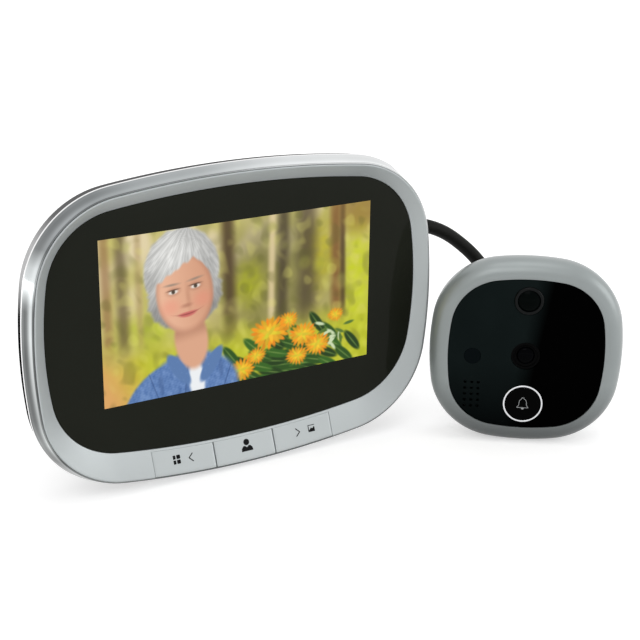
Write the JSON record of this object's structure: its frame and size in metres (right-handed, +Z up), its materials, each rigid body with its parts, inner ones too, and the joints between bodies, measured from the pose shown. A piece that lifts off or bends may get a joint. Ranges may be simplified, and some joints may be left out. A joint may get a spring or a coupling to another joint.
{
  "type": "peephole door camera",
  "caption": "Indoor door monitor with a chromed rim, dished silver bezel, wide display and touch keys, joined by a short black cable to a rounded outdoor doorbell camera.",
  "frame": {"origin": "middle of the door plate's flat back, at the centre of its cable hole, midway between its screw slots", "axes": "+Z up along the door, +Y into the door, so that the monitor faces -Y, and +X to the right as seen from in front of the monitor"},
  "size_m": [0.1936, 0.0672, 0.1016],
  "materials": {
    "back_shell": "black moulded plastic, fine matt texture",
    "screw_steel": "zinc plated steel",
    "battery_wrap": "silver-grey foil wrap",
    "satin_silver": "satin silver paint",
    "black_rubber": "soft matt black",
    "seal_foam": "closed-cell foam, matt black",
    "board_green": "green solder mask",
    "housing_grey": "satin grey paint",
    "socket_plastic": "ivory moulded plastic",
    "window_black": "polished black acrylic",
    "contact_steel": "tinned steel",
    "chrome_plate": "bright chrome plate",
    "door_plate_steel": "black powder coat",
    "component_black": "moulded black",
    "button_black": "polished black",
    "front_glass_black": "black glass with a clear display area",
    "infrared_plastic": "dark infrared filter plastic",
    "gasket_foam": "thin black foam",
    "display": "display panel",
    "lens_clear": "coated optical glass",
    "dome_milky": "dark translucent plastic",
    "ring_black": "black moulded plastic",
    "sensor_can": "nickel plated steel",
    "plate_zinc": "cast and bead blasted",
    "insert_brass": "turned brass"
  },
  "bodies": {
    "door_plate": {"door_plate": "door_plate_steel"},
    "monitor": {"back_cover": "back_shell", "back_cover_screws": "screw_steel", "battery": "battery_wrap", "battery_lid": "back_shell", "battery_lid_screw": "screw_steel", "bezel": "satin_silver", "cable_gland": "black_rubber", "cable_plug": "black_rubber", "camera_board": "board_green", "camera_cable": "black_rubber", "camera_housing": "housing_grey", "camera_socket": "socket_plastic", "camera_window": "window_black", "card_socket": "contact_steel", "chrome_rim": "chrome_plate", "door_seal": "seal_foam", "door_sounder": "component_black", "doorbell_ring": "chrome_plate", "doorbell_switch": "component_black", "front_glass": "front_glass_black", "infrared_window": "infrared_plastic", "key_switches": "component_black", "lcd_frame": "component_black", "lcd_gasket": "gasket_foam", "lcd_panel": "display", "lens_barrel": "component_black", "lens_glass": "lens_clear", "main_board": "board_green", "motion_dome": "dome_milky", "motion_ring": "ring_black", "motion_sensor": "sensor_can", "port_board": "board_green", "power_switch_body": "component_black", "rear_plate": "plate_zinc", "shield_can": "contact_steel", "speaker": "component_black", "threaded_inserts": "insert_brass", "unit_screws": "screw_steel", "usb_socket": "contact_steel"},
    "left_key": {"left_key": "satin_silver"},
    "centre_key": {"centre_key": "satin_silver"},
    "right_key": {"right_key": "satin_silver"},
    "power_switch": {"power_switch_knob": "component_black"},
    "doorbell": {"doorbell_button": "button_black"}
  },
  "joints": [
    {"name": "monitor_lift", "type": "slide", "parent": "door_plate", "child": "monitor", "axis": [0, 0, 1], "range_m": [0, 0.008]},
    {"name": "left_key_press", "type": "slide", "parent": "monitor", "child": "left_key", "axis": [0, 1, 0], "range_m": [0, 0.0005], "stiffness_N_per_m": 300},
    {"name": "centre_key_press", "type": "slide", "parent": "monitor", "child": "centre_key", "axis": [0, 1, 0], "range_m": [0, 0.0005], "stiffness_N_per_m": 300},
    {"name": "right_key_press", "type": "slide", "parent": "monitor", "child": "right_key", "axis": [0, 1, 0], "range_m": [0, 0.0005], "stiffness_N_per_m": 300},
    {"name": "doorbell_press", "type": "slide", "parent": "monitor", "child": "doorbell", "axis": [0.5878, 0.809, 0], "range_m": [0, 0.0008], "stiffness_N_per_m": 300},
    {"name": "power_slide", "type": "slide", "parent": "monitor", "child": "power_switch", "axis": [1, 0, 0], "range_m": [0, 0.002]}
  ]
}
